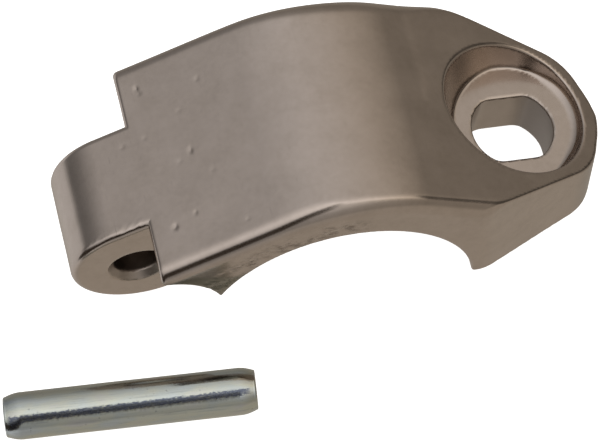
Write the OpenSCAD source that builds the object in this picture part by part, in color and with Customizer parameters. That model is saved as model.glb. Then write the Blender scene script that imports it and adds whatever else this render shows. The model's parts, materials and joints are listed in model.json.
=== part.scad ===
// Outer half of a hinged handlebar clamp, with its loose hinge pin beside it.
// Origin: on the handlebar's axis, midway across the clamp. +Y runs along the handlebar,
// +X points to the bolt end, and the clamp stands on its knuckle and the tip of its nose.

/* [Handlebar seat] */
// Radius of the handlebar that the seat grips
bar_r = 12.7; // [12.4:0.1:13]
// Width of the clamp along the handlebar
body_w = 23.2; // [22:0.1:25]

/* [Back of the clamp] */
// Slope of the flat on the hinge side, in degrees
hinge_flat_slope = 20.5; // [18:0.5:22]
// Distance from the handlebar's axis to the flat on the hinge side
hinge_flat_depth = 17.1; // [16.8:0.1:17.4]
// Slope of the flat on the bolt side, in degrees
bolt_flat_slope = 32.2; // [30:0.1:34]
// Distance from the handlebar's axis to the flat on the bolt side
bolt_flat_depth = 17.6; // [17.2:0.1:18]
// Outer radius of the bend between the two flats
bend_r = 16.3; // [15:0.1:17]
// Rounding of the long outer edges
edge_r = 2; // [1:0.1:2.5]

/* [Hinge end] */
// Hinge axis, distance from the handlebar's axis towards the hinge end
hinge_reach = 18.1; // [17.8:0.1:18.4]
// Hinge axis, height above the handlebar's axis
hinge_rise = 3.8; // [3.5:0.1:4.1]
// Radius of the bore for the hinge pin
bore_r = 2.25; // [2.1:0.01:2.4]
// Depth of the 45 degree chamfer at each end of the bore
bore_chamfer = 0.4; // [0.1:0.1:0.8]
// Width of the central knuckle
knuckle_w = 10.3; // [9:0.1:12]
// Radius of the knuckle's nose
knuckle_r = 6.9; // [6.8:0.1:7]
// Radius of the pockets that clear the mating lugs, about the hinge axis
lug_pocket_r = 7.3; // [7.1:0.1:7.5]
// Distance from the handlebar's axis to the end of the body over the lug pockets
body_end = 16.6; // [16.2:0.1:17]

/* [Bolt end] */
// Lean of the bolt axis away from the handlebar, in degrees
bolt_lean = 11; // [9:0.5:13]
// Distance from the handlebar's axis to the bolt axis
bolt_reach = 18.4; // [18.2:0.1:18.6]
// Height of the face that meets the bracket, along the bolt axis
joint_face = 2.5; // [2:0.1:3]
// Height of the seat for the bolt's head, along the bolt axis
head_seat = 8.1; // [7.8:0.1:8.4]
// Radius of the seat's wall where it meets the floor
head_wall_r = 6.7; // [6.4:0.1:6.9]
// Draft of the seat's wall, in degrees
head_draft = 8; // [5:0.5:10]
// Fillet between the seat's floor and its wall
head_fillet = 0.7; // [0.4:0.1:0.9]
// Radius of the bolt hole's round sides
hole_r = 3.95; // [3.7:0.05:4.1]
// Distance between the bolt hole's two flats
hole_flats = 6.8; // [6.2:0.1:7.2]
// Distance from the handlebar's axis to the tip of the nose
nose_reach = 27.6; // [27.2:0.1:28]

/* [Hinge pin] */
// Radius of the pin
pin_r = 2.2; // [2.05:0.01:2.3]
// Length of the pin
pin_len = 23.9; // [20:0.1:26]
// Length of the taper at each end
pin_taper = 1.5; // [0.5:0.1:2]
// How much each taper takes off the radius
pin_taper_drop = 0.3; // [0.1:0.05:0.5]
// Middle of the loose pin, distance towards the hinge end
pin_x = 21.7; // [18:0.1:24]
// Middle of the loose pin, distance to the side of the handlebar's middle
pin_y = 17.3; // [17:0.1:20]
// Turn of the loose pin, in degrees
pin_turn = 6.9; // [0:0.1:7]

/* [Hidden] */
$fn = 96;
arc_steps = 8;
// Room that cutters run past the faces they cut
over = 4;
// The surface that the clamp and the pin rest on
knuckle_rise = 4.3;
floor_z = knuckle_rise - knuckle_r;
// Knuckle's centre: its nose is tangent to the hinge-side flat
knuckle_reach = (hinge_flat_depth - knuckle_r - knuckle_rise * cos(hinge_flat_slope))
              / sin(hinge_flat_slope);
// Height and reach of the block that the clamp is cut from
block_top = 22;
block_end = 32;
// Bend axis: the point that lies one bend radius inside both flats
hinge_gap = hinge_flat_depth - bend_r;
bolt_gap = bolt_flat_depth - bend_r;
bend_sweep = hinge_flat_slope + bolt_flat_slope;
bend_x = (bolt_gap * cos(hinge_flat_slope) - hinge_gap * cos(bolt_flat_slope)) / sin(bend_sweep);
bend_z = (hinge_gap * sin(bolt_flat_slope) + bolt_gap * sin(hinge_flat_slope)) / sin(bend_sweep);
// Corners of the nose, seen along Z: the start of the taper, the shoulder and the tip
taper_start = [14.2, body_w / 2];
nose_shoulder = [nose_reach - 1.9, 5.5];
nose_tip = [nose_reach, 1.3];

// Points of an arc about a centre, from angle a0 to angle a1
function arc(centre, r, a0, a1) =
    [for (i = [0 : arc_steps]) centre + r * [cos(a0 + (a1 - a0) * i / arc_steps),
                                             sin(a0 + (a1 - a0) * i / arc_steps)]];

// Height of the hinge-side flat at a distance x from the handlebar's axis
function hinge_flat_z(x) = (hinge_flat_depth + x * sin(hinge_flat_slope)) / cos(hinge_flat_slope);

// Section across the body: its long outer edges are rounded
module body_section(depth) {
    side = body_w / 2;
    polygon(concat([[-side, -depth], [side, -depth]],
                   arc([side - edge_r, bend_r - edge_r], edge_r, 0, 90),
                   arc([edge_r - side, bend_r - edge_r], edge_r, 90, 180)));
}

// A straight run of the body, from the bend axis along +X
module straight_run(length, depth) {
    rotate([90, 0, 90]) linear_extrude(height = length) body_section(depth);
}

// The bent bar that the clamp is cut from
module bent_bar() {
    translate([bend_x, 0, bend_z]) {
        rotate([0, -hinge_flat_slope, 0]) mirror([1, 0, 0]) straight_run(block_end, 0);
        rotate([0, bolt_flat_slope, 0]) straight_run(block_end, block_end);
        rotate([90, 0, 0]) rotate([0, 0, 90 - bolt_flat_slope])
            rotate_extrude(angle = bend_sweep) rotate(-90) body_section(0);
    }
}

// Everything inside this outline, seen along Z, stays: the nose tapers to a blunt tip
module nose_outline() {
    linear_extrude(height = block_top - floor_z)
        polygon([[-block_end, -taper_start[1]], [taper_start[0], -taper_start[1]],
                 [nose_shoulder[0], -nose_shoulder[1]], [nose_tip[0], -nose_tip[1]], nose_tip,
                 nose_shoulder, taper_start, [-block_end, taper_start[1]]]);
}

// Everything inside this outline, seen along the handlebar, stays
module side_outline() {
    rotate([90, 0, 0]) linear_extrude(height = body_w + over, center = true)
        polygon([[-body_end, hinge_rise], [-bar_r / 2, hinge_rise], [bar_r / 2, floor_z],
                 [block_end, floor_z], [block_end, block_top], [-body_end, block_top]]);
}

// A cylinder along the handlebar's direction, centred at [x, z]
module cross_cylinder(centre, r, length) {
    translate([centre[0], 0, centre[1]]) rotate([90, 0, 0]) cylinder(h = length, r = r, center = true);
}

// Places its children in the bolt's own frame
module along_bolt(height) {
    rotate([0, bolt_lean, 0]) translate([bolt_reach, 0, height]) children();
}

// Central knuckle, joined to the body by a web below the hinge-side flat
module knuckle() {
    tangent = [-knuckle_reach - knuckle_r * sin(hinge_flat_slope),
               knuckle_rise + knuckle_r * cos(hinge_flat_slope)];
    root_x = -bar_r + 1;
    cross_cylinder([-knuckle_reach, knuckle_rise], knuckle_r, knuckle_w);
    rotate([90, 0, 0]) linear_extrude(height = knuckle_w, center = true)
        polygon([[-knuckle_reach, knuckle_rise], [-bar_r + 2, 0], [root_x, hinge_flat_z(root_x)], tangent]);
}

// Bore for the hinge pin, chamfered at both mouths
module hinge_bore() {
    cross_cylinder([-hinge_reach, hinge_rise], bore_r, knuckle_w + over);
    for (side = [0, 180])
        translate([-hinge_reach, 0, hinge_rise]) rotate([90, 0, side])
            translate([0, 0, knuckle_w / 2 - bore_chamfer])
                cylinder(h = 2 * bore_chamfer, r1 = bore_r, r2 = bore_r + 2 * bore_chamfer);
}

// Pockets either side of the knuckle, for the two lugs of the mating bracket
module lug_pockets() {
    pocket_w = body_w / 2;
    for (side = [-1, 1])
        translate([0, side * (knuckle_w + pocket_w) / 2, 0])
            cross_cylinder([-hinge_reach, hinge_rise], lug_pocket_r, pocket_w);
}

// Drafted recess whose floor is the seat for the bolt's head
module head_recess() {
    depth = block_top / 2;
    corner = [head_wall_r - head_fillet, head_fillet];
    along_bolt(head_seat)
        rotate_extrude()
            polygon(concat([[0, 0]], arc(corner, head_fillet, -90, -head_draft),
                           [[head_wall_r + depth * tan(head_draft), depth], [0, depth]]));
}

// Round bolt hole with two flats that run across the handlebar's direction
module bolt_hole() {
    depth = head_seat - joint_face + over;
    along_bolt(head_seat - depth + over / 2)
        intersection() {
            cylinder(h = depth, r = hole_r);
            translate([-bar_r, -hole_flats / 2, 0]) cube([2 * bar_r, hole_flats, depth]);
        }
}

// Removes what lies under the face that meets the bracket
module under_joint_face() {
    along_bolt(joint_face - block_end) translate([-bolt_reach, -body_w, 0])
        cube([2 * block_end, 2 * body_w, block_end]);
}

module clamp() {
    color([0.55, 0.51, 0.48])
        difference() {
            union() {
                difference() {
                    intersection() {
                        bent_bar();
                        translate([0, 0, floor_z]) nose_outline();
                        side_outline();
                    }
                    lug_pockets();
                    under_joint_face();
                }
                knuckle();
            }
            cross_cylinder([0, 0], bar_r, body_w + over);
            hinge_bore();
            head_recess();
            bolt_hole();
        }
}

// Straight pin with a tapered lead at each end, lying on the same surface as the clamp
module hinge_pin() {
    color([0.66, 0.69, 0.70])
        translate([-pin_x, -pin_y, floor_z + pin_r]) rotate([0, 0, -pin_turn]) rotate([0, 90, 0])
            union() {
                cylinder(h = pin_len - 2 * pin_taper, r = pin_r, center = true);
                for (side = [0, 180])
                    rotate([0, side, 0]) translate([0, 0, pin_len / 2 - pin_taper])
                        cylinder(h = pin_taper, r1 = pin_r, r2 = pin_r - pin_taper_drop);
            }
}

clamp();
hinge_pin();
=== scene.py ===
import json
import math

import bpy
import numpy as np
from mathutils import Matrix, Vector


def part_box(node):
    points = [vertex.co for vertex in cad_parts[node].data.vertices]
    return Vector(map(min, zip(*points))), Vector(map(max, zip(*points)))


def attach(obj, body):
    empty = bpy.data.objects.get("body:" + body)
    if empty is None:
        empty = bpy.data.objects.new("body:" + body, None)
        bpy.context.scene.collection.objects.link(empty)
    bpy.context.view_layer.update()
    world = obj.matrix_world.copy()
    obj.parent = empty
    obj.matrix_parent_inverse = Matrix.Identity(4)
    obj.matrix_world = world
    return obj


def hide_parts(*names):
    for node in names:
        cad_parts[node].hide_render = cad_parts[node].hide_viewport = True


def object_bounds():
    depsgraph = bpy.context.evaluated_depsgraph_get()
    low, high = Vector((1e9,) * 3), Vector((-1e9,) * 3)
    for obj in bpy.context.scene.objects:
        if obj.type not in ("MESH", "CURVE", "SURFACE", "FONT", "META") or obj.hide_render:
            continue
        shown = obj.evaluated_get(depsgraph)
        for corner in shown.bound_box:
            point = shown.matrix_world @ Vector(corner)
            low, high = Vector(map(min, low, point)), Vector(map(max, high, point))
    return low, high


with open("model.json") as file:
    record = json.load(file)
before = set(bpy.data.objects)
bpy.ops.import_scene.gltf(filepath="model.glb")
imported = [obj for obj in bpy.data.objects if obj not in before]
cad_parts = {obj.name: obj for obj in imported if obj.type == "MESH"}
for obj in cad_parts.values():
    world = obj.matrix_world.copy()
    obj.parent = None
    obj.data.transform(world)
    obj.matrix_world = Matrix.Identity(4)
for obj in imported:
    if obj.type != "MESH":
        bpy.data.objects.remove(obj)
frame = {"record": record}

# Half of a hinged handlebar clamp, die cast and plated, with its loose zinc-plated hinge pin.
# Shapes are worked out in millimetres in the frame's axes and made in metres.
MM = 0.001
CAD_LO, CAD_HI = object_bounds()
CLAMP_LO, CLAMP_HI = (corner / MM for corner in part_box("clamp"))
PIN_LO, PIN_HI = (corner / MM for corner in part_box("hinge_pin"))
MOUNTS = {mount["name"]: mount for mount in frame["record"]["mounts"]}


def mount_radius(name):
    """Radius of a mount, in mm."""
    return MOUNTS[name]["dims"]["r_mm"]


def mount_place(name):
    """Point that a mount is placed by, in mm."""
    return Vector(MOUNTS[name]["pos_m"]) / MM


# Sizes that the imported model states, and how the plated pin differs from it
PIN_PLATING = 0.06      # what the plating adds to its radius
PIN_SHIFT = Vector((0, -0.10, 0))
BAR_R = mount_radius("handlebar_seat")
BORE_R = mount_radius("hinge_bore")
HINGE = mount_place("hinge_bore")
PIN_R = mount_radius("pin_shank") + PIN_PLATING
PIN_AXIS = -Vector(MOUNTS["pin_shank"]["axis"])
PIN_PLACE = mount_place("pin_shank") + PIN_SHIFT
HALF_W = (CLAMP_HI.y - CLAMP_LO.y) / 2
NOSE_X = CLAMP_HI.x

# Back of the clamp: two flats and the bend between them
HINGE_SLOPE = math.radians(20.5)
HINGE_DEPTH = 17.1
BOLT_SLOPE = math.radians(32.2)
BOLT_DEPTH = 17.6
BEND_R = 16.3
NEAR_EDGE_R = (1.6, 2.0)    # rounding of the long outer edges, at the hinge and the bolt end
FAR_EDGE_R = (1.6, 2.3)     # and on the far side
EDGE_R_RUN = (-7, 5)        # where it changes from one to the other, along X
SIDE_OUT = 0.2              # how much further out the near side face stands
EDGE_LIFT = 0.30            # how far the rounding stands above the flat on the bolt side
LIFT_NEAR = (-2.0, 5.5)     # where the lift grows on the near side, along X
LIFT_FAR = (11.0, 15.0)     # and on the far side
CREASE_R = 0.15             # line where the lifted rounding meets the flat
CREASE_LIFT = 0.2           # lift at which that line has its full radius

# Hinge end
BODY_END = 16.6
BODY_END_R = 0.4
KNUCKLE_HALF_W = 5.25
KNUCKLE_DRAFT = 0.04    # how much its near face leans out for each mm of height
KNUCKLE_R = 6.9
KNUCKLE_RISE = 4.3
KNUCKLE_RUN = 8.0       # straight run of the knuckle's underside
KNUCKLE_SINK = 0.05     # depth of its top under the flat once it is inside the body
SINK_RUN = (0.4, 2.0)   # how far inside the body it goes under
KNUCKLE_EDGE_R = 0.7
LUG_POCKET_R = 7.08
BORE_CHAMFER = 0.5
SKIRT_Z = 3.8           # the body beside the knuckle stops at this height

# Bolt end
BOLT_LEAN = math.radians(11)
BOLT_REACH = 18.4
JOINT_FACE = 2.5
HEAD_SEAT = 8.1
HEAD_WALL_R = 6.55
HEAD_DRAFT = math.radians(8)
HEAD_OFFSET = -0.1      # how far the cast recess sits off the bolt's axis, towards the nose
HEAD_FILLETS = (0.3, 0.9)   # fillet at its foot, on the bar's side and on the nose's side
FILLET_RUN = (2.5, 5.0)     # where it changes from one to the other, from the bolt's axis
LEAN_R = 6.7            # wall on the bar's side, which leans out more: radius at its foot
LEAN_OFFSET = 0.95      # how far its foot sits off the bolt's axis, towards the nose
LEAN_SHIFT = 0.146      # how far it moves back towards the bar for each mm of height
HEAD_FLARE = 0.28       # how much further out the foot sits on the far side
HEAD_FLARE_Z = 1.6      # height over which that dies away
HEAD_RIM_R = 0.3
HOLE_R = 3.95
HOLE_HALF_FLATS = 3.4
HOLE_EDGE_R = 0.16
HOLE_CORNER_R = 0.25    # where its flats run into its round sides
TAPER_START = (14.25, HALF_W)
NOSE_SHOULDER = (NOSE_X - 1.6, 5.95)
NOSE_TIP = (NOSE_X + 0.3, 0.9)
TAPER_DRAFT = 0.02      # how far the tapered walls lean out for each mm of height
SHOULDER_DRAFT = 0.12   # and the end walls
NOSE_MID_Z = 4.0        # height at which the outline has its stated size
NOSE_TURN = 0.025       # slight turn of the outline in plan, in radians
NOSE_BLEND = (0.4, 1.6, 0.6)    # bluntness of its corners, from the side to the tip
CUT_EDGE_R = 0.25       # edges where the seat and the pockets meet the side faces

# Facet on the near side face
FACET_TOP = 10.9        # height of its upper edge near the hinge
FACET_START = -13.2     # where that edge starts to fall
FACET_RUN = 3.0         # how far it falls for
FACET_FALL = 0.45       # and how steeply
FACET_END = -8.5        # where it falls away towards the bar
FACET_LAST_FALL = 0.8
FACET_LEAN = 0.03       # how far the facet leans in for each mm of depth

# Grid that the clamp's surface is drawn on
STEP = 0.235
SHARP_ANGLE = math.radians(35)      # edges that turn more than this inside one face are drawn sharp
MARGIN = 3 * STEP
SLOPE_REACH = 0.03      # distance over which a field's slope is measured
NORMAL_REACH = 0.05     # and over which the surface's normals are
CORNER_PULL = 0.4       # how far inside a face the normal for its corner is taken, from 0 to 1
SETTLE = 0.01           # keeps points on nearly flat ground from sliding along it
CROSSING_TRIES = 3      # how often the place where an edge crosses the surface is narrowed down
CROSSING_SPAN = (0.05, 0.95)    # part of the edge left to look at where each try is made
PULL_TRIES = 2          # how often the points are drawn onto the surface
PULL_LIMIT = 0.3 * STEP     # furthest that each try moves them along one axis
RIPPLE_WAVES = 9        # waves that each set of ripples is made of
RIPPLE_SPREAD = (0.6, 1.5)      # how many times more often they repeat than the set's wavelength says


# ------------------------------------------------------------------ solid shapes as signed distances

def kept(a, b, r):
    """What lies inside both a and b, with the edge between them rounded to r."""
    corner = np.hypot(np.maximum(r + a, 0), np.maximum(r + b, 0))
    return np.minimum(-r, np.maximum(a, b)) + corner


def cut(a, b, r):
    """What is left of a when b is taken away, with the edge between them rounded to r."""
    return kept(a, -b, r)


def softened(a, b, width):
    """What lies inside both a and b, with a blunt corner for walls that meet at a shallow angle."""
    blend = np.maximum(width - np.abs(a - b), 0) / width
    return np.maximum(a, b) + blend * blend * width / 4


def ramp(value, start, end):
    """0 before start, 1 after end, smooth between."""
    t = np.clip((value - start) / (end - start), 0, 1)
    return t * t * (3 - 2 * t)


def fade(value, start, end):
    """1 before start, 0 after end, smooth between."""
    return 1 - ramp(value, start, end)


def between(share, start, end):
    """Start where share is 0, end where it is 1."""
    return (1 - share) * start + share * end


def ripples(points, wavelength, seed):
    """Smooth random ripples between about -1 and 1."""
    rng = np.random.default_rng(seed)
    total = np.zeros(len(points))
    for _ in range(RIPPLE_WAVES):
        direction = rng.normal(size=3)
        direction *= 2 * math.pi / wavelength * rng.uniform(*RIPPLE_SPREAD) / np.linalg.norm(direction)
        total += np.sin(points @ direction + rng.uniform(0, 2 * math.pi))
    return total / math.sqrt(RIPPLE_WAVES)


def back_field(x, z):
    """Outer back: the hinge-side flat, the bend and the bolt-side flat."""
    hinge_n = (-math.sin(HINGE_SLOPE), math.cos(HINGE_SLOPE))
    bolt_n = (math.sin(BOLT_SLOPE), math.cos(BOLT_SLOPE))
    hinge_flat = hinge_n[0] * x + hinge_n[1] * z - HINGE_DEPTH
    bolt_flat = bolt_n[0] * x + bolt_n[1] * z - BOLT_DEPTH
    inset = np.linalg.solve(np.array([hinge_n, bolt_n]), [HINGE_DEPTH - BEND_R, BOLT_DEPTH - BEND_R])
    dx, dz = x - inset[0], z - inset[1]
    turn = np.arctan2(dx, dz)
    bend = np.hypot(dx, dz) - BEND_R
    return np.where(turn < -HINGE_SLOPE, hinge_flat, np.where(turn > BOLT_SLOPE, bolt_flat, bend))


def wall(x, y, start, end):
    """Upright wall through two points of the plan outline, the same on both sides."""
    run = (end[0] - start[0], end[1] - start[1])
    length = math.hypot(*run)
    normal = (-run[1] / length, run[0] / length)
    return normal[0] * (x - start[0]) + normal[1] * (np.abs(y) - start[1])


def nose_field(x, y, z):
    """Tapered nose, seen from above, with a little draft."""
    x, height = x + NOSE_TURN * y, z - NOSE_MID_Z
    taper = wall(x, y, TAPER_START, NOSE_SHOULDER) - TAPER_DRAFT * height
    shoulder = wall(x, y, NOSE_SHOULDER, NOSE_TIP) - SHOULDER_DRAFT * height
    end = x - NOSE_TIP[0] - SHOULDER_DRAFT * height
    return softened(softened(taper, shoulder, NOSE_BLEND[1]), end, NOSE_BLEND[2])


def knuckle_field(x, y, z):
    """Central knuckle: a round nose, run into the body parallel to the hinge-side flat."""
    cos_s, sin_s = math.cos(HINGE_SLOPE), math.sin(HINGE_SLOPE)
    centre_x = -(HINGE_DEPTH - KNUCKLE_R - KNUCKLE_RISE * cos_s) / sin_s
    dx, dz = x - centre_x, z - KNUCKLE_RISE
    along = np.clip(dx * cos_s + dz * sin_s, 0, KNUCKLE_RUN)
    barrel = np.hypot(dx - along * cos_s, dz - along * sin_s) - KNUCKLE_R
    barrel = barrel + KNUCKLE_SINK * ramp(x + BODY_END, *SINK_RUN)
    near_face = -y - KNUCKLE_HALF_W - KNUCKLE_DRAFT * (z - CLAMP_LO.z)
    return kept(barrel, np.maximum(y - KNUCKLE_HALF_W, near_face), KNUCKLE_EDGE_R)


def bore_field(x, y, z):
    """Hinge bore with a 45 degree chamfer at each mouth."""
    reach = np.hypot(x - HINGE.x, z - HINGE.z) - BORE_R
    mouth = np.minimum(np.abs(y) - (KNUCKLE_HALF_W - BORE_CHAMFER), 2 * BORE_CHAMFER)
    return np.minimum(reach, (reach - mouth) / math.sqrt(2))


def bolt_frame(x, z):
    """Distance from the bolt's axis towards the nose, and height along the axis."""
    cos_l, sin_l = math.cos(BOLT_LEAN), math.sin(BOLT_LEAN)
    return x * cos_l - z * sin_l - BOLT_REACH, x * sin_l + z * cos_l


def recess_field(x, y, z):
    """Drafted cast recess for the bolt's head, with a wall that leans out on the bar's side."""
    u, height = bolt_frame(x, z)
    above = height - HEAD_SEAT
    y = y - HEAD_FLARE * np.exp(-np.maximum(above, 0) / HEAD_FLARE_Z)
    growth = above * math.tan(HEAD_DRAFT)
    cone = np.hypot(u - HEAD_OFFSET, y) - HEAD_WALL_R - growth
    leaning = np.hypot(u - LEAN_OFFSET + LEAN_SHIFT * above, y) - LEAN_R - growth
    walls = np.maximum(cone, leaning) * math.cos(HEAD_DRAFT)
    fillet = between(ramp(u, *FILLET_RUN), *HEAD_FILLETS)
    return kept(walls, -above, fillet)


def hole_field(u, y):
    """Round bolt hole with two flats."""
    return kept(np.hypot(u, y) - HOLE_R, np.abs(y) - HOLE_HALF_FLATS, HOLE_CORNER_R)


def facet_top(x):
    """Height of the facet's upper edge on the near side face."""
    first_fall = FACET_FALL * np.clip(x - FACET_START, 0, FACET_RUN)
    return FACET_TOP - first_fall - FACET_LAST_FALL * np.maximum(x - FACET_END, 0)


def facet_field(x, y, z):
    """Sloping facet on the near side face, over the cusp between the seat and the pocket."""
    return -y - HALF_W - SIDE_OUT + FACET_LEAN * (facet_top(x) - z)


def body_field(x, y, z):
    """Body of the clamp without its knuckle."""
    back = back_field(x, z)
    side = np.maximum(y - HALF_W, -y - HALF_W - SIDE_OUT)
    lift = EDGE_LIFT * np.where(y < 0, ramp(x, *LIFT_NEAR), ramp(x, *LIFT_FAR))
    along = ramp(x, *EDGE_R_RUN)
    edge_r = np.where(y < 0, between(along, *NEAR_EDGE_R), between(along, *FAR_EDGE_R))
    edged = kept(back - lift, side, edge_r)
    walls = softened(edged, nose_field(x, y, z), NOSE_BLEND[0])
    body = kept(back, walls, CREASE_R * ramp(lift, 0, CREASE_LIFT))
    body = kept(body, -BODY_END - x, BODY_END_R)
    body = np.maximum(body, facet_field(x, y, z))
    pocket = np.maximum(np.hypot(x - HINGE.x, z - HINGE.z) - LUG_POCKET_R, KNUCKLE_HALF_W - np.abs(y))
    body = cut(body, pocket, CUT_EDGE_R)
    return np.maximum(body, np.minimum(SKIRT_Z - z, -x))


def clamp_shape(points):
    """Signed distance to the clamp's ideal surface."""
    x, y, z = points.T
    u, height = bolt_frame(x, z)
    body = body_field(x, y, z)
    under = np.maximum(height - JOINT_FACE, -(u + BOLT_REACH))
    body = cut(body, under, CUT_EDGE_R)
    solid = np.minimum(body, knuckle_field(x, y, z))
    solid = cut(solid, np.hypot(x, z) - BAR_R, CUT_EDGE_R)
    solid = np.maximum(solid, -bore_field(x, y, z))
    solid = cut(solid, recess_field(x, y, z), HEAD_RIM_R)
    return cut(solid, hole_field(u, y), HOLE_EDGE_R)


PIT_REACH = 1.0         # how far from the back a pit's dent is worked out
# Casting pits in the hinge-side flat: place along X and Y, depth, length and width, in mm
PITS = [(-14.8, 8.3, 0.13, 0.34, 0.20), (-14.6, 7.8, 0.08, 0.24, 0.20), (-11.2, -0.1, 0.10, 0.34, 0.20),
        (-14.2, -7.1, 0.13, 0.30, 0.24), (-12.1, -6.5, 0.07, 0.26, 0.20), (-9.1, 6.8, 0.05, 0.28, 0.22),
        (-11.4, 4.4, 0.03, 0.26, 0.26), (-15.1, 3.0, 0.03, 0.24, 0.24), (-17.3, 3.0, 0.03, 0.25, 0.25),
        (-7.6, -9.2, 0.04, 0.22, 0.22), (-12.4, -0.8, 0.03, 0.25, 0.25), (-9.6, -2.9, 0.03, 0.25, 0.25)]


def pit_depth(points):
    """Depth of the casting pits below the hinge-side flat."""
    x, y, z = points.T
    total = np.zeros(len(points))
    near = np.abs(back_field(x, z)) < PIT_REACH
    for px, py, depth, length, width in PITS:
        spread = ((x[near] - px) / width) ** 2 + ((y[near] - py) / length) ** 2
        total[near] += depth * np.exp(-spread)
    return total


# Rough marks on the near side face, just above the handlebar seat
MARKS_START = (-15.5, -13.0)    # where they begin along X
MARKS_END = (1.5, 4.5)          # and end
MARKS_FOOT = (0.1, 0.5)         # how far above the seat they begin
MARKS_TOP = (1.4, 3.4)          # and end
MARKS_EDGE = 0.3                # how far round the edge of the face they reach
MARKS_PATCH = 1.9               # size of the patches that they come in
MARKS_SHARE = (-0.9, 0.3)       # how much of the face the patches leave free
NICK_DEPTH = 0.03
NICK_SIZE = 0.75
NICK_OFFSET = 0.4               # how much more they dent the face than they raise it

# Small burrs along the knuckle's near edge, outside the body, and the waves of the whole casting
BURR_HEIGHT = 0.014
BURR_SIZE = 0.8
BURR_SIDE_RUN = (0.1, 0.6)      # how far they reach in from the near face
BURR_TOP_RUN = (0.2, 0.7)       # and down from the back
BURR_END_RUN = (-1.0, 0.0)      # where they die away before the body
WAVE_HEIGHT = 0.008
WAVE_SIZE = 7.0


def casting_marks(points):
    """Strength of the rough marks."""
    x, y, z = points.T
    above_seat = np.hypot(x, z) - BAR_R
    along = ramp(x, *MARKS_START) * fade(x, *MARKS_END)
    band = ramp(above_seat, *MARKS_FOOT) * fade(above_seat, *MARKS_TOP)
    patchy = ramp(ripples(points * (1, 0, 1), MARKS_PATCH, 5), *MARKS_SHARE)
    return ramp(-y, HALF_W - MARKS_EDGE, HALF_W) * along * band * patchy


def knuckle_burrs(points):
    """Small burrs and dents on the knuckle's near edge."""
    x, y, z = points.T
    on_edge = fade(np.abs(y + KNUCKLE_HALF_W), *BURR_SIDE_RUN) * fade(np.abs(back_field(x, z)), *BURR_TOP_RUN)
    outside = fade(x + BODY_END, *BURR_END_RUN)
    return BURR_HEIGHT * on_edge * outside * ripples(points, BURR_SIZE, 3)


def clamp_field(points):
    """Signed distance to the clamp's surface with the small irregularities of the casting."""
    wavy = WAVE_HEIGHT * ripples(points, WAVE_SIZE, 1)
    nicks = NICK_DEPTH * casting_marks(points) * (NICK_OFFSET + ripples(points, NICK_SIZE, 2))
    return clamp_shape(points) + wavy + nicks + pit_depth(points) + knuckle_burrs(points)


# ------------------------------------------------------------------ shares of painted shade, and of the facet's darker metal, on the clamp

# How strong the painted shade is inside the holes, where the plating is also made rougher
HOLE_DARK = 0.28        # all round the bolt hole
HOLE_DARKER = 0.50      # and what its nose side adds
HOLE_DARKER_RUN = (0.5, 3.0)
RECESS_DARK = 0.20
BORE_DARK = 0.40
WALL_REACH = (0.05, 0.15)       # how far from a wall its painted shade ends
HOLE_WALL_REACH = (0.02, 0.10)
HOLE_TOP_RUN = (-0.05, 0.0)     # where the painted shade of the hole ends below the seat
RECESS_FOOT_RUN = (0.3, 0.8)    # where the painted shade on the recess's wall starts above it
BORE_END_RUN = (0.0, 0.2)       # where the painted shade in the bore ends outside the knuckle
# Where the facet's darker metal and painted shade come in or die away, from the side face, the place where
# its edge falls towards the bar, and that edge
FACET_SIDE_RUN = (-1.0, -0.5)
FACET_END_RUN = (-0.5, 1.0)
FACET_EDGE_RUN = (-0.4, 0.3)


def painted_hole_shade(x, y, z):
    """Share of painted shade, with rougher plating, on the walls of the bolt hole, its recess and the bore.
    """
    u, height = bolt_frame(x, z)
    above = height - HEAD_SEAT
    in_hole = fade(np.abs(hole_field(u, y)), *HOLE_WALL_REACH) * fade(above, *HOLE_TOP_RUN)
    in_recess = fade(np.abs(recess_field(x, y, z)), *WALL_REACH) * ramp(above, *RECESS_FOOT_RUN)
    in_knuckle = fade(np.abs(y) - KNUCKLE_HALF_W, *BORE_END_RUN)
    in_bore = fade(np.abs(bore_field(x, y, z)), *WALL_REACH) * in_knuckle
    in_hole = in_hole * (HOLE_DARK + HOLE_DARKER * ramp(u, *HOLE_DARKER_RUN))
    return np.clip(in_hole + RECESS_DARK * in_recess + BORE_DARK * in_bore, 0, 1)


def facet_metal_and_shade(x, y, z):
    """Share of the darker metal, and of painted shade for the turn of its face, on the facet over the cusp.
    """
    on_near_side = ramp(-y - HALF_W, *FACET_SIDE_RUN) * fade(x - FACET_END, *FACET_END_RUN)
    return on_near_side * ramp(facet_top(x) - z, *FACET_EDGE_RUN)


# ------------------------------------------------------------------ surface of a signed distance

def slope(field, points, reach=SLOPE_REACH):
    """Direction in which a field grows, one row for each point."""
    grown = np.empty_like(points)
    for axis in range(3):
        step = np.zeros(3)
        step[axis] = reach
        grown[:, axis] = (field(points + step) - field(points - step)) / (2 * reach)
    return grown


def crossings(field, value, lo, step, axis):
    """Grid edges along one axis that pierce the surface, and the points where they do."""
    first = [slice(None)] * 3
    second = [slice(None)] * 3
    first[axis], second[axis] = slice(None, -1), slice(1, None)
    before, after = value[tuple(first)], value[tuple(second)]
    start = np.argwhere((before < 0) != (after < 0))
    f0 = before[tuple(start.T)]
    f1 = after[tuple(start.T)]
    leaving = f0 < 0
    t0, t1 = np.zeros(len(start)), np.ones(len(start))
    for _ in range(CROSSING_TRIES):
        t = t0 + (t1 - t0) * np.clip(f0 / (f0 - f1), *CROSSING_SPAN)
        points = lo + step * start
        points[:, axis] += step * t
        f = field(points)
        same = (f < 0) == (f0 < 0)
        t0, f0 = np.where(same, t, t0), np.where(same, f, f0)
        t1, f1 = np.where(same, t1, t), np.where(same, f1, f)
    points = lo + step * start
    points[:, axis] += step * (t0 + (t1 - t0) * f0 / (f0 - f1))
    return start, points, leaving


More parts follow.
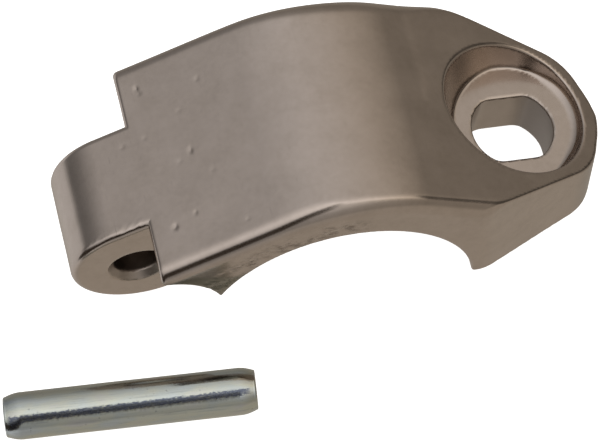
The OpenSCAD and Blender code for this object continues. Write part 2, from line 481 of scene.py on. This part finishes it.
def corner_points(cell_of, count, points, normals, cell_lo, step):
    """The point of each cell that lies nearest to all the tangent planes found on its edges."""
    which = cell_of.ravel()
    p = np.repeat(points, 4, axis=0)
    n = np.repeat(normals, 4, axis=0)

    def gathered(weights):
        return np.bincount(which, weights=weights, minlength=count)

    hits = gathered(np.ones(len(which)))
    centre = np.stack([gathered(p[:, k]) / hits for k in range(3)], -1)
    offset = np.einsum("ij,ij->i", n, p - centre[which])
    matrix = np.empty((count, 3, 3))
    for i in range(3):
        for j in range(3):
            matrix[:, i, j] = gathered(n[:, i] * n[:, j])
        matrix[:, i, i] += SETTLE * hits
    target = np.stack([gathered(n[:, k] * offset) for k in range(3)], -1)
    move = np.linalg.solve(matrix, target[..., None])[..., 0]
    return np.clip(centre + move, cell_lo, cell_lo + step)


def surface(field, lo, hi, step):
    """Points, outward normals and four-sided faces of a field's zero surface."""
    size = np.ceil((hi - lo) / step).astype(int) + 1
    axes = [lo[k] + step * np.arange(size[k]) for k in range(3)]
    grid = np.stack(np.meshgrid(*axes, indexing="ij"), -1).reshape(-1, 3)
    value = field(grid).reshape(size)
    points, quads = [], []
    for axis in range(3):
        start, hit, leaving = crossings(field, value, lo, step, axis)
        b, c = np.zeros(3, int), np.zeros(3, int)
        b[(axis + 1) % 3] = 1
        c[(axis + 2) % 3] = 1
        ring = np.stack([start, start - b, start - b - c, start - c], 1)
        ring[~leaving] = ring[~leaving][:, ::-1]
        points.append(hit)
        quads.append(np.ravel_multi_index(tuple(np.moveaxis(ring, -1, 0)), size))
    points, quads = np.concatenate(points), np.concatenate(quads)
    cells, cell_of = np.unique(quads, return_inverse=True)
    cell_of = cell_of.reshape(quads.shape)
    normals = slope(field, points)
    normals /= np.linalg.norm(normals, axis=1, keepdims=True)
    cell_lo = lo + step * np.stack(np.unravel_index(cells, size), -1)
    verts = corner_points(cell_of, len(cells), points, normals, cell_lo, step)
    for _ in range(PULL_TRIES):
        uphill = slope(field, verts)
        move = field(verts)[:, None] * uphill / np.sum(uphill ** 2, axis=1, keepdims=True)
        verts -= np.clip(move, -PULL_LIMIT, PULL_LIMIT)
    outward = slope(field, verts, NORMAL_REACH)
    outward /= np.linalg.norm(outward, axis=1, keepdims=True)
    return verts, outward, cell_of


def corner_normals(field, verts, outward, faces):
    """A normal for each corner of each face, which keeps sharp edges crisp."""
    inner = between(CORNER_PULL, verts[faces], verts[faces].mean(axis=1, keepdims=True))
    own = slope(field, inner.reshape(-1, 3))
    own /= np.linalg.norm(own, axis=1, keepdims=True)
    shared = outward[faces].reshape(-1, 3)
    sharp = np.einsum("ij,ij->i", own, shared) < math.cos(SHARP_ANGLE)
    return np.where(sharp[:, None], own, shared)


def new_object(name, verts, faces):
    """A smooth mesh object from points in mm."""
    mesh = bpy.data.meshes.new(name)
    mesh.from_pydata((np.asarray(verts) * MM).tolist(), [], [list(map(int, f)) for f in faces])
    mesh.validate()
    mesh.polygons.foreach_set("use_smooth", [True] * len(mesh.polygons))
    obj = bpy.data.objects.new(name, mesh)
    bpy.context.scene.collection.objects.link(obj)
    return obj


def point_value(obj, name, values):
    """Stores one number for each point, which a material can read by name."""
    attribute = obj.data.attributes.new(name, "FLOAT", "POINT")
    attribute.data.foreach_set("value", np.asarray(values, np.float32))


def make_clamp():
    """The cast clamp half."""
    lo = np.array(CLAMP_LO) - MARGIN
    hi = np.array(CLAMP_HI) + MARGIN
    verts, normals, faces = surface(clamp_field, lo, hi, STEP)
    clamp = new_object("clamp_casting", verts, faces)
    point_value(clamp, "marks", casting_marks(verts))
    # Darker metal and painted shade on the facet
    point_value(clamp, "facet", facet_metal_and_shade(*verts.T))
    # Share of painted shade inside the holes
    point_value(clamp, "inner", painted_hole_shade(*verts.T))
    clamp.data.normals_split_custom_set(corner_normals(clamp_field, verts, normals, faces))
    return clamp


# ------------------------------------------------------------------ hinge pin

PIN_TAPER = 1.6         # length of the lead at each end
PIN_TAPER_DROP = 0.32   # what the lead takes off the radius
PIN_TAPER_POWER = 1.8   # how much steeper the lead gets towards its end
PIN_RIM_R = 0.2
PIN_RIM_TURN = 80       # how far round the rim turns, in degrees
PIN_SEGMENTS = 128
PIN_SHANK_RINGS = 150
PIN_LEAD_RINGS = 14
PIN_RIM_RINGS = 9
PIN_FACE_RINGS = 8
PIN_WEAR = 0.012        # how far drawing marks sink the surface on average
PIN_WEAR_SWING = 0.006
PIN_WEAR_SIZE = 2.2
PIN_WEAR_STRETCH = (0.25, 1, 1)     # the marks run along the pin
PIN_CORE = 0.1          # they die away inside this radius, in the middle of the end faces


def pin_profile(half_length):
    """Distance along the axis and radius, from the middle of one end face to the other."""
    lead = np.linspace(0, 1, PIN_LEAD_RINGS)
    rim = np.radians(np.linspace(0, PIN_RIM_TURN, PIN_RIM_RINGS))
    end_r = PIN_R - PIN_TAPER_DROP
    face = [(half_length, r) for r in np.linspace(0, end_r - PIN_RIM_R, PIN_FACE_RINGS)]
    round_rim = [(half_length - PIN_RIM_R + PIN_RIM_R * math.cos(a),
                  end_r - PIN_RIM_R + PIN_RIM_R * math.sin(a)) for a in rim]
    taper = [(half_length - PIN_RIM_R - t * (PIN_TAPER - PIN_RIM_R),
              PIN_R - PIN_TAPER_DROP * (1 - t) ** PIN_TAPER_POWER) for t in lead]
    shank_end = half_length - PIN_TAPER
    shank = [(s, PIN_R) for s in np.linspace(shank_end, -shank_end, PIN_SHANK_RINGS)[1:-1]]
    half = face + round_rim[1:] + taper
    return half + shank + [(-s, r) for s, r in reversed(half)]


def pin_points(half_length):
    """Rings of points along the pin, and the middle of each end face."""
    rings = np.array(pin_profile(half_length)[1:-1])
    turn = np.linspace(0, 2 * math.pi, PIN_SEGMENTS, endpoint=False)
    s, r = rings.T[:, :, None] + 0 * turn
    verts = np.stack([s, r * np.cos(turn), r * np.sin(turn)], -1).reshape(-1, 3)
    outward = verts * (0, 1, 1) / np.maximum(np.hypot(verts[:, 1], verts[:, 2]), PIN_CORE)[:, None]
    wear = PIN_WEAR + PIN_WEAR_SWING * ripples(verts * PIN_WEAR_STRETCH, PIN_WEAR_SIZE, 7)
    verts -= outward * wear[:, None]
    return np.vstack([verts, (half_length, 0, 0), (-half_length, 0, 0)]), len(rings)


def pin_faces(rings):
    """Faces between the rings and over both ends."""
    faces = []
    centre = rings * PIN_SEGMENTS
    last_ring = centre - PIN_SEGMENTS
    for j in range(PIN_SEGMENTS):
        k = (j + 1) % PIN_SEGMENTS
        for a in range(0, last_ring, PIN_SEGMENTS):
            b = a + PIN_SEGMENTS
            faces.append((b + j, b + k, a + k, a + j))
        faces.append((centre, j, k))
        faces.append((centre + 1, last_ring + k, last_ring + j))
    return faces


def make_pin():
    """Straight pin with soft leads, turned about its own X axis."""
    length = (PIN_HI.x - PIN_LO.x - 2 * (PIN_R - PIN_TAPER_DROP) * abs(PIN_AXIS.y)) / PIN_AXIS.x
    verts, rings = pin_points(length / 2)
    pin = new_object("hinge_pin_steel", verts, pin_faces(rings))
    across = Vector((0, 0, 1)).cross(PIN_AXIS)
    turned = Matrix((PIN_AXIS, across, (0, 0, 1))).transposed().to_4x4()
    pin.matrix_world = Matrix.Translation(PIN_PLACE * MM) @ turned
    return pin


# ------------------------------------------------------------------ materials

class Nodes:
    """Short calls for building a node tree."""

    def __init__(self, tree):
        self.tree = tree
        tree.nodes.clear()

    def add(self, kind, inputs=(), **settings):
        node = self.tree.nodes.new(kind)
        for name, value in settings.items():
            setattr(node, name, value)
        for socket, value in dict(inputs).items():
            if isinstance(value, bpy.types.NodeSocket):
                self.tree.links.new(value, node.inputs[socket])
            else:
                node.inputs[socket].default_value = value
        return node

    def math(self, operation, a, b=0.0, c=0.0):
        return self.add("ShaderNodeMath", {0: a, 1: b, 2: c}, operation=operation).outputs[0]

    def noise(self, vector, scale, detail, roughness):
        inputs = {"Vector": vector, "Scale": scale, "Detail": detail, "Roughness": roughness}
        return self.add("ShaderNodeTexNoise", inputs).outputs["Fac"]

    def fit(self, value, low, high, to_low=0.0, to_high=1.0):
        inputs = {"Value": value, "From Min": low, "From Max": high, "To Min": to_low, "To Max": to_high}
        return self.add("ShaderNodeMapRange", inputs, interpolation_type="SMOOTHSTEP").outputs[0]

    def mix(self, amount, a, b):
        inputs = {"Factor": amount, "A": a, "B": b}
        node = self.tree.nodes.new("ShaderNodeMix")
        node.data_type = "RGBA"
        for socket in node.inputs:
            if socket.name in inputs and socket.type in ("VALUE", "RGBA") and socket.enabled:
                value = inputs[socket.name]
                if isinstance(value, bpy.types.NodeSocket):
                    self.tree.links.new(value, socket)
                else:
                    socket.default_value = value
        return next(out for out in node.outputs if out.type == "RGBA")

    def colours(self, value, stops):
        node = self.add("ShaderNodeValToRGB", {"Fac": value})
        points = node.color_ramp.elements
        while len(points) < len(stops):
            points.new(0.5)
        for point, (place, colour) in zip(points, stops):
            point.position = place
            point.color = colour
        return node.outputs["Color"]

    def millimetres(self, stretch=(1, 1, 1)):
        """The surface's own coordinates in mm, squeezed by stretch."""
        place = self.add("ShaderNodeTexCoord").outputs["Object"]
        inputs = {"Vector": place, "Scale": [s / MM for s in stretch]}
        return self.add("ShaderNodeMapping", inputs, vector_type="POINT").outputs[0]

    def bump(self, height, depth, normal=None):
        """Relief of a given depth in mm."""
        inputs = {"Height": height, "Distance": depth * MM, "Strength": 1.0}
        if normal is not None:
            inputs["Normal"] = normal
        return self.add("ShaderNodeBump", inputs).outputs[0]

    def attribute(self, name):
        """A number stored for each point of the mesh."""
        return self.add("ShaderNodeAttribute", attribute_name=name).outputs["Fac"]

    def surface(self, inputs):
        """Puts a principled shader on the surface."""
        shader = self.add("ShaderNodeBsdfPrincipled", inputs)
        self.add("ShaderNodeOutputMaterial", {"Surface": shader.outputs[0]})

    def metal(self, colour, roughness, relief):
        self.surface({"Base Color": colour, "Metallic": 1.0, "Roughness": roughness, "Normal": relief})


def material(name):
    made = bpy.data.materials.new(name)
    made.use_nodes = True
    return made, Nodes(made.node_tree)


def grey(value):
    return (value, value, value, 1)


# Plating of the clamp, from its darker to its lighter clouds, what dirties it, the facet's darker metal, and
# painted shade on the facet and in the holes
NICKEL = [(0.30, (0.440, 0.372, 0.325, 1)), (0.50, (0.482, 0.410, 0.362, 1)),
          (0.70, (0.515, 0.440, 0.392, 1))]
SCRATCH = (0.24, 0.20, 0.17, 1)
ROUGH_MARK = (0.15, 0.115, 0.09, 1)
# Darker metal of the facet, with painted shade
FACET_METAL_AND_SHADE = (0.17, 0.165, 0.125, 1)
# Painted shade inside the holes
PAINTED_HOLE_SHADE = (0.22, 0.19, 0.165, 1)
NICKEL_ROUGHNESS = 0.19
NICKEL_UNEVEN = 0.06        # how much its roughness varies
SCRATCH_STRENGTH = 0.30
MARK_STRENGTH = 0.65
FACET_STRENGTH = 0.75
MARK_ROUGHNESS = 0.15       # what the marks and the shaded holes add to the roughness
HOLE_ROUGHNESS = 0.40
CLOUD_SHARE = 0.35          # share of the small clouds in its tone, next to the large ones
SCRATCH_RANGE = (0.70, 0.80)    # parts of their noise that show as scratches
SPOT_RANGE = (0.42, 0.64)       # and as spots among the marks
GRAIN_DEPTH = 0.0012        # relief, in mm
BRUSHED_DEPTH = 0.0015
MARK_DEPTH = 0.02


def nickel_colour(n, tone, marks, facet, inner):
    """Colour of the clamp's plating under its scratches and marks, with the facet's darker metal and painted
    shade, and painted shade in the holes.
    """
    scratch = n.noise(n.millimetres((7, 0.5, 2)), 1.0, 2, 0.5)
    base = n.mix(n.fit(scratch, *SCRATCH_RANGE, 0.0, SCRATCH_STRENGTH), n.colours(tone, NICKEL), SCRATCH)
    base = n.mix(n.math("MULTIPLY", marks, MARK_STRENGTH), base, ROUGH_MARK)
    # Darker metal and painted shade on the facet
    base = n.mix(n.math("MULTIPLY", facet, FACET_STRENGTH), base, FACET_METAL_AND_SHADE)
    # Painted shade inside the holes
    return n.mix(inner, base, PAINTED_HOLE_SHADE)


def clamp_metal():
    """Satin warm nickel over a die casting."""
    made, n = material("satin_warm_nickel")
    place = n.millimetres()
    blotch = n.noise(place, 0.35, 4, 0.6)
    cloud = n.noise(place, 1.6, 3, 0.6)
    grain = n.noise(place, 9.0, 3, 0.6)
    brushed = n.noise(n.millimetres((6, 0.35, 6)), 1.0, 3, 0.6)
    spots = n.noise(n.millimetres((1.3, 1.3, 2.4)), 1.0, 5, 0.78)
    marks = n.math("MULTIPLY", n.attribute("marks"), n.fit(spots, *SPOT_RANGE))
    facet = n.attribute("facet")
    inner = n.attribute("inner")
    tone = n.math("MULTIPLY_ADD", cloud, CLOUD_SHARE, n.math("MULTIPLY", blotch, 1 - CLOUD_SHARE))
    rough = n.math("MULTIPLY_ADD", n.math("SUBTRACT", blotch, 0.5), NICKEL_UNEVEN, NICKEL_ROUGHNESS)
    rough = n.math("MULTIPLY_ADD", n.math("SUBTRACT", grain, 0.5), NICKEL_UNEVEN, rough)
    rough = n.math("MULTIPLY_ADD", marks, MARK_ROUGHNESS, rough)
    rough = n.math("MULTIPLY_ADD", inner, HOLE_ROUGHNESS, rough)
    relief = n.bump(grain, GRAIN_DEPTH)
    relief = n.bump(brushed, BRUSHED_DEPTH, relief)
    relief = n.bump(n.math("MULTIPLY", n.noise(place, 3.5, 4, 0.7), marks), MARK_DEPTH, relief)
    n.metal(nickel_colour(n, tone, marks, facet, inner), rough, relief)
    return made


# Zinc of the pin, from its bluer to its yellower tint, what dulls it, and a dark blue band of stain and
# painted reflection
ZINC = [(0.30, (0.49, 0.53, 0.55, 1)), (0.44, (0.50, 0.53, 0.50, 1)), (0.56, (0.54, 0.55, 0.48, 1)),
        (0.70, (0.52, 0.52, 0.50, 1))]
DULL_ZINC = (0.30, 0.32, 0.33, 1)
ZINC_SPECK = (0.14, 0.14, 0.15, 1)
# Dark blue band along the pin: passivation stain and painted reflection of the dark gap in the studio
# lighting
STAIN_AND_REFLECTION = (0.075, 0.09, 0.15, 1)
BAND_ANGLE = math.radians(31.7)    # round the pin, from its top towards -Y, half way along
BAND_TWIST = math.radians(-0.27)   # and how it changes for each mm along the pin
BAND_HALF = math.radians(6.5)      # half of its width
BAND_RAGGED = 0.30                 # how far its edges wander, in radians
BAND_RAGGED_MEAN = 0.13
BAND_LEFT = (-11.7, -11.3)         # its ends along the pin
BAND_RIGHT = (11.0, 11.6)
BAND_DROP = math.radians(11)       # how far its left end drops and widens
BAND_DROP_RUN = (-11.6, -9.8)
BAND_SOFT = (-0.02, 0.03)          # softness of its edges, in radians
BAND_STRENGTH = (0.45, 0.85)       # weakest and strongest
CRUMB_RANGE = (0.30, 0.55)          # parts of the noise that make it so
DULL_RANGE = (0.50, 0.72)           # parts of the drawing streaks' noise that are dull
DULL_STRENGTH = 0.35
SPECK_RANGE = (0.66, 0.72)
SPECK_STRENGTH = 0.5
ZINC_ROUGHNESS = 0.08
ZINC_UNEVEN = 0.10                  # how much its roughness varies
DULL_ROUGHNESS = 0.08               # what dull streaks and the blue band add to it
BAND_ROUGHNESS = 0.12
STREAK_DEPTH = 0.010                # relief, in mm
FINE_DEPTH = 0.004
SPECK_DEPTH = 0.006


def pin_stain_and_reflection(n, ragged):
    """Dull blue passivation streak along the pin, partly painted reflection of the dark gap in the lighting,
    with ragged edges and a wider left end.
    """
    split = n.add("ShaderNodeSeparateXYZ", {0: n.millimetres()})
    x, y, z = split.outputs
    angle = n.math("ARCTAN2", n.math("MULTIPLY", y, -1.0), z)
    left_end = n.fit(x, *BAND_DROP_RUN, BAND_DROP, 0.0)
    centre = n.math("ADD", left_end, n.math("MULTIPLY_ADD", x, BAND_TWIST, BAND_ANGLE))
    away = n.math("ABSOLUTE", n.math("SUBTRACT", angle, centre))
    half_width = n.math("MULTIPLY_ADD", ragged, BAND_RAGGED, BAND_HALF - BAND_RAGGED_MEAN)
    edge = n.math("ADD", left_end, half_width)
    streak = n.fit(n.math("SUBTRACT", edge, away), *BAND_SOFT)
    ends = n.math("MULTIPLY", n.fit(x, *BAND_RIGHT, 1.0, 0.0), n.fit(x, *BAND_LEFT))
    return n.math("MULTIPLY", streak, ends)


def pin_metal():
    """Bright zinc plating with drawing streaks, a faint passivation tint and a dark blue band of stain and
    painted reflection.
    """
    made, n = material("bright_zinc_plate")
    streak = n.noise(n.millimetres((0.22, 3.2, 3.2)), 1.0, 4, 0.6)
    fine = n.noise(n.millimetres((0.9, 9, 9)), 1.0, 3, 0.6)
    speck = n.noise(n.millimetres(), 3.2, 3, 0.6)
    crumb = n.noise(n.millimetres((2.6, 6, 6)), 1.0, 3, 0.7)
    tint = n.noise(n.millimetres((0.28, 0.8, 0.8)), 1.0, 2, 0.5)
    dull = n.fit(streak, *DULL_RANGE)
    stain_and_reflection = n.math("MULTIPLY", pin_stain_and_reflection(n, crumb), n.fit(crumb, *CRUMB_RANGE, *BAND_STRENGTH))
    base = n.mix(n.math("MULTIPLY", dull, DULL_STRENGTH), n.colours(tint, ZINC), DULL_ZINC)
    base = n.mix(n.math("MULTIPLY", n.fit(speck, *SPECK_RANGE), SPECK_STRENGTH), base, ZINC_SPECK)
    # Dark blue band: passivation stain and painted reflection
    base = n.mix(stain_and_reflection, base, STAIN_AND_REFLECTION)
    rough = n.math("MULTIPLY_ADD", fine, ZINC_UNEVEN, ZINC_ROUGHNESS)
    rough = n.math("MULTIPLY_ADD", dull, DULL_ROUGHNESS, rough)
    rough = n.math("MULTIPLY_ADD", stain_and_reflection, BAND_ROUGHNESS, rough)
    relief = n.bump(streak, STREAK_DEPTH)
    relief = n.bump(fine, FINE_DEPTH, relief)
    relief = n.bump(speck, SPECK_DEPTH, relief)
    n.metal(base, rough, relief)
    return made


FLOOR_GREY = 0.9
FLOOR_ROUGHNESS = 0.9
FLOOR_OWN_LIGHT = (1, 0.995, 0.998, 1)
FLOOR_OWN_STRENGTH = 0.95


def floor_white():
    """Lit white sweep."""
    made, n = material("white_sweep")
    n.surface({"Base Color": grey(FLOOR_GREY), "Roughness": FLOOR_ROUGHNESS,
               "Emission Color": FLOOR_OWN_LIGHT, "Emission Strength": FLOOR_OWN_STRENGTH})
    return made


# ------------------------------------------------------------------ studio and camera

# Brightness of the studio by angle from overhead, in degrees: below 0 away from the camera's
# side, above 0 towards it
OVERHEAD = [(-90, 0.28), (-70, 0.34), (-58, 0.385), (-36, 0.66), (-18, 0.82), (0, 1.05), (15, 1.25),
            (32, 1.15), (48, 0.75), (68, 0.44), (90, 0.36)]
# Share of that brightness by distance towards -X and +X
SPREAD = [(-1.0, 0.55), (-0.8, 0.66), (-0.54, 0.83), (0.0, 1.0), (0.5, 0.90), (0.78, 0.76),
          (0.86, 0.62), (0.92, 0.30), (1.0, 0.15)]
# Gap in the lighting on the camera's side: the angles it spans where it ends, and how they
# grow towards -X
GAP_LIGHT = (0.045, 0.036, 0.028, 1)
GAP_END = -0.06
GAP_FADE = 0.12         # length over which it ends
GAP_TOP = math.radians(21)
GAP_TOP_GROWS = math.radians(62)
GAP_FOOT = math.radians(50)
GAP_FOOT_GROWS = math.radians(125)
GAP_TOP_SOFT = (0.0, 0.10)      # softness of its edges, in radians
GAP_FOOT_SOFT = (-0.05, 0.08)
# Dark corner of the studio towards +X
CORNER_LIGHT = 0.10
CORNER_X = (0.80, 0.87)
CORNER_ANGLE = (math.radians(-35), math.radians(-10))
# Light thrown back by the floor
FLOOR_LIGHT = 0.46
FLOOR_GLOW = 0.70       # towards -X
FLOOR_GLOW_X = (-0.7, -0.2)
FLOOR_SHADE = 0.31      # towards +X and +Y
FLOOR_SHADE_XY = (0.15, 0.8)
HORIZON = (-0.22, -0.02)
WARM = (1.0, 0.91, 0.78, 1)     # colour of the light low towards +X
WARM_X = 0.9            # how the lean that brings it in grows with x and with z, and its start
WARM_Z = -0.45
WARM_START = 0.35
WARM_LEAN = (-0.3, 0.95)    # leans between which it comes in


def lighting_gap(n, x, angle):
    """1 inside the gap in the lighting, 0 outside it."""
    reach = n.math("SUBTRACT", GAP_END, x)
    top = n.math("MULTIPLY_ADD", reach, GAP_TOP_GROWS, GAP_TOP)
    foot = n.math("MULTIPLY_ADD", reach, GAP_FOOT_GROWS, GAP_FOOT)
    under_top = n.fit(n.math("SUBTRACT", angle, top), *GAP_TOP_SOFT)
    over_foot = n.fit(n.math("SUBTRACT", foot, angle), *GAP_FOOT_SOFT)
    inside = n.fit(x, GAP_END, GAP_END + GAP_FADE, 1.0, 0.0)
    return n.math("MULTIPLY", inside, n.math("MULTIPLY", under_top, over_foot))


def light_above(n, x, angle):
    """Brightness of the studio above the horizon."""
    turn = n.math("MULTIPLY_ADD", angle, 1 / math.pi, 0.5)
    overhead = n.colours(turn, [((a + 90) / 180, grey(v)) for a, v in OVERHEAD])
    sides = n.colours(n.math("MULTIPLY_ADD", x, 0.5, 0.5), [((a + 1) / 2, grey(v)) for a, v in SPREAD])
    far_corner = n.math("MULTIPLY", n.fit(x, *CORNER_X), n.fit(angle, *CORNER_ANGLE))
    return n.mix(far_corner, n.math("MULTIPLY", overhead, sides), grey(CORNER_LIGHT))


def studio_light():
    """Soft overhead studio light as one smooth surround."""
    world = bpy.data.worlds.new("studio")
    bpy.context.scene.world = world
    world.use_nodes = True
    n = Nodes(world.node_tree)
    direction = n.add("ShaderNodeTexCoord").outputs["Generated"]
    split = n.add("ShaderNodeSeparateXYZ", {0: direction})
    x, y, z = split.outputs
    angle = n.math("ARCTAN2", n.math("MULTIPLY", y, -1.0), z)
    glow = n.fit(x, *FLOOR_GLOW_X, FLOOR_GLOW, FLOOR_LIGHT)
    below = n.fit(n.math("ADD", x, y), *FLOOR_SHADE_XY, glow, FLOOR_SHADE)
    light = n.mix(n.fit(z, *HORIZON), below, light_above(n, x, angle))
    light = n.mix(lighting_gap(n, x, angle), light, GAP_LIGHT)
    lean = n.math("MULTIPLY_ADD", x, WARM_X, n.math("MULTIPLY_ADD", z, WARM_Z, WARM_START))
    tint = n.mix(n.fit(lean, *WARM_LEAN), grey(1.0), WARM)
    colour = n.add("ShaderNodeVectorMath", {0: light, 1: tint}, operation="MULTIPLY").outputs[0]
    shader = n.add("ShaderNodeBackground", {"Color": colour, "Strength": 1.0})
    n.add("ShaderNodeOutputWorld", {"Surface": shader.outputs[0]})


FLOOR_HALF = 4000.0     # half of the floor's width, in mm


def make_floor():
    """Plain white floor under the parts."""
    height = CAD_LO.z / MM
    corners = [(x * FLOOR_HALF, y * FLOOR_HALF, height) for x, y in ((-1, -1), (1, -1), (1, 1), (-1, 1))]
    floor = new_object("floor", corners, [(0, 1, 2, 3)])
    floor.data.materials.append(floor_white())
    floor.visible_glossy = False


AZIMUTH = math.radians(-6.80)
ELEVATION = math.radians(62.06)
ROLL = math.radians(-6.44)
AIM = Vector((-2.23, -4.56, 4.0)) * MM
DISTANCE = 532.3 * MM
LENS = 336.7
SENSOR = 36
CLIP = (0.01, 50)


def make_camera():
    """Camera at the photograph's viewing angle."""
    back = Vector((math.sin(AZIMUTH) * math.cos(ELEVATION), -math.cos(AZIMUTH) * math.cos(ELEVATION),
                   math.sin(ELEVATION)))
    level = (-back).cross(Vector((0, 0, 1))).normalized()
    upright = level.cross(-back)
    right = level * math.cos(ROLL) + upright * math.sin(ROLL)
    up = upright * math.cos(ROLL) - level * math.sin(ROLL)
    camera = bpy.data.objects.new("camera", bpy.data.cameras.new("camera"))
    camera.data.lens = LENS
    camera.data.sensor_width = SENSOR
    camera.data.clip_start, camera.data.clip_end = CLIP
    turned = Matrix((right, up, back)).transposed().to_4x4()
    camera.matrix_world = Matrix.Translation(AIM + back * DISTANCE) @ turned
    bpy.context.scene.collection.objects.link(camera)
    bpy.context.scene.camera = camera


# ------------------------------------------------------------------ assembly

make_camera()
studio_light()
make_floor()
bpy.context.scene.view_settings.view_transform = "Standard"

clamp_piece = make_clamp()
clamp_piece.data.materials.append(clamp_metal())
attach(clamp_piece, "clamp")
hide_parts("clamp")

pin_piece = make_pin()
pin_piece.data.materials.append(pin_metal())
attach(pin_piece, "hinge_pin")
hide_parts("hinge_pin")
